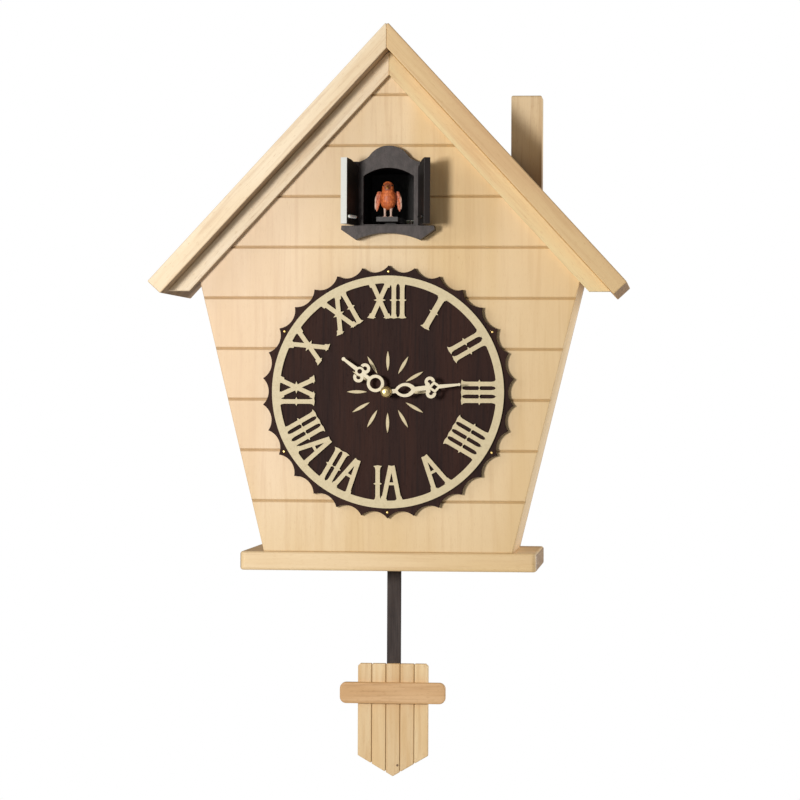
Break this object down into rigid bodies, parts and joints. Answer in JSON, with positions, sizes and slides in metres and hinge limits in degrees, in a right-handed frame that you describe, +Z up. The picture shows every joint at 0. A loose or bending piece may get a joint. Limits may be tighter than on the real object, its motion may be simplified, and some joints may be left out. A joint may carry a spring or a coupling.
{
  "type": "cuckoo clock",
  "caption": "Wall-hung pale wooden house-shaped cuckoo clock with a dark scalloped Roman dial, serpentine hands, a bird behind two small doors and a slatted pendulum.",
  "frame": {"origin": "centre of the keyhole's round hole in the hanger plate, in the wall plane", "axes": "+Z up, +Y out of the back towards the wall, +X to the right seen from the front"},
  "size_m": [0.2674, 0.1154, 0.4255],
  "materials": {
    "panel_wood": "satin clear-coated pale limewood",
    "roof_wood": "satin clear-coated pale limewood, edge grain",
    "bob_wood": "satin pale wood",
    "back_ply": "plain plywood",
    "dial_wood": "dark stained satin wood",
    "stick_wood": "dark stained wood",
    "cream_trim": "satin cream",
    "hand_cream": "satin cream",
    "brass": "polished",
    "steel": "zinc plated",
    "window_plastic": "charcoal brown, grained",
    "black_plastic": "black moulded",
    "grey_plastic": "dark grey moulded",
    "nylon": "natural nylon",
    "board": "green circuit board",
    "copper": "enamelled copper winding",
    "cell_wrap": "plain wrapped battery",
    "bird_orange": "painted copper orange",
    "bird_wing": "painted, paler edges",
    "magnet": "nickel plated",
    "cone_paper": "black paper cone"
  },
  "bodies": {
    "case": {"front_panel": "panel_wood", "left_side_wall": "panel_wood", "right_side_wall": "panel_wood", "base_board": "panel_wood", "left_roof_board": "roof_wood", "right_roof_board": "roof_wood", "left_rake_trim": "roof_wood", "right_rake_trim": "roof_wood", "chimney": "roof_wood", "back_panel": "back_ply", "back_panel_screws": "steel", "hanger_block": "back_ply", "hanger_plate": "steel", "short_screws": "steel", "door_pivots": "steel", "dial_disc": "dial_wood", "chapter_ring": "cream_trim", "dial_rays": "cream_trim", "dial_pins": "brass", "movement_case": "grey_plastic", "movement_cover": "grey_plastic", "movement_screws": "steel", "shaft_bushing": "brass", "circuit_board": "board", "drive_coil": "copper", "stator": "steel", "stepper_rotor": "magnet", "window_frame": "window_plastic", "cuckoo_chassis": "black_plastic", "cuckoo_motor": "steel", "pendulum_bracket": "grey_plastic", "pendulum_coil": "copper", "power_housing": "grey_plastic", "battery_cells": "cell_wrap", "battery_contacts": "steel", "control_board": "board", "speaker_basket": "steel", "speaker_cone": "cone_paper"},
    "minute_hand_group": {"minute_arbor": "brass", "minute_hand": "hand_cream", "hand_cap": "brass"},
    "hour_hand_group": {"hour_wheel": "nylon", "hour_hand": "hand_cream"},
    "motion_wheel": {"minute_wheel": "nylon", "setting_knob": "grey_plastic"},
    "third_wheel_body": {"third_wheel": "nylon"},
    "seconds_wheel_body": {"seconds_wheel": "nylon"},
    "bird": {"bird_carriage": "black_plastic", "bird_body": "bird_orange", "bird_wings": "bird_wing"},
    "rack_pinion": {"drive_pinion": "nylon"},
    "door_left": {"left_door": "window_plastic"},
    "door_right": {"right_door": "window_plastic"},
    "back_door": {"service_door": "back_ply"},
    "switch": {"volume_switch": "black_plastic"},
    "pendulum": {"pendulum_arm": "grey_plastic", "pendulum_magnet": "magnet", "pendulum_rod": "stick_wood", "bob_slats": "bob_wood", "bob_bar": "bob_wood"}
  },
  "joints": [
    {"name": "minute_turn", "type": "hinge", "parent": "case", "child": "minute_hand_group", "pos_m": [0, -0.09, -0.1392], "axis": [0, 1, 0], "continuous": true},
    {"name": "hour_turn", "type": "hinge", "parent": "case", "child": "hour_hand_group", "pos_m": [0, -0.09, -0.1392], "axis": [0, 1, 0], "continuous": true},
    {"name": "motion_wheel_turn", "type": "hinge", "parent": "case", "child": "motion_wheel", "pos_m": [0.00848, -0.075, -0.13071], "axis": [0, 1, 0], "continuous": true},
    {"name": "third_wheel_turn", "type": "hinge", "parent": "case", "child": "third_wheel_body", "pos_m": [-0.0108, -0.075, -0.1392], "axis": [0, 1, 0], "continuous": true},
    {"name": "seconds_wheel_turn", "type": "hinge", "parent": "case", "child": "seconds_wheel_body", "pos_m": [-0.0108, -0.075, -0.1494], "axis": [0, 1, 0], "continuous": true},
    {"name": "bird_slide", "type": "slide", "parent": "case", "child": "bird", "axis": [0, 1, 0], "range_m": [0, 0.03]},
    {"name": "rack_pinion_turn", "type": "hinge", "parent": "case", "child": "rack_pinion", "pos_m": [0.01042, -0.062, -0.05], "axis": [0, 0, 1], "range_deg": [-495, 0]},
    {"name": "left_door_swing", "type": "hinge", "parent": "case", "child": "door_left", "pos_m": [-0.0185, -0.0973, -0.029], "axis": [0, 0, 1], "range_deg": [0, 105.2]},
    {"name": "right_door_swing", "type": "hinge", "parent": "case", "child": "door_right", "pos_m": [0.0185, -0.0973, -0.029], "axis": [0, 0, 1], "range_deg": [-105.2, 0]},
    {"name": "service_door_swing", "type": "hinge", "parent": "case", "child": "back_door", "pos_m": [0.0439, -0.0075, -0.174], "axis": [0, 0, -1], "range_deg": [0, 95]},
    {"name": "volume_switch_slide", "type": "slide", "parent": "case", "child": "switch", "axis": [1, 0, 0], "range_m": [-0.003, 0.003]},
    {"name": "pendulum_swing", "type": "hinge", "parent": "case", "child": "pendulum", "pos_m": [0, -0.051, -0.16], "axis": [0, 1, 0], "range_deg": [-5, 5]}
  ],
  "couplings": [
    {"joint": "hour_turn", "follows": "minute_turn", "ratio": 0.083333},
    {"joint": "motion_wheel_turn", "follows": "minute_turn", "ratio": -0.33333},
    {"joint": "third_wheel_turn", "follows": "minute_turn", "ratio": -8},
    {"joint": "seconds_wheel_turn", "follows": "minute_turn", "ratio": 60},
    {"joint": "rack_pinion_turn", "follows": "bird_slide", "rad_per_m": -285.71},
    {"joint": "left_door_swing", "follows": "bird_slide", "rad_per_m": 61.087},
    {"joint": "right_door_swing", "follows": "bird_slide", "rad_per_m": -61.087}
  ]
}
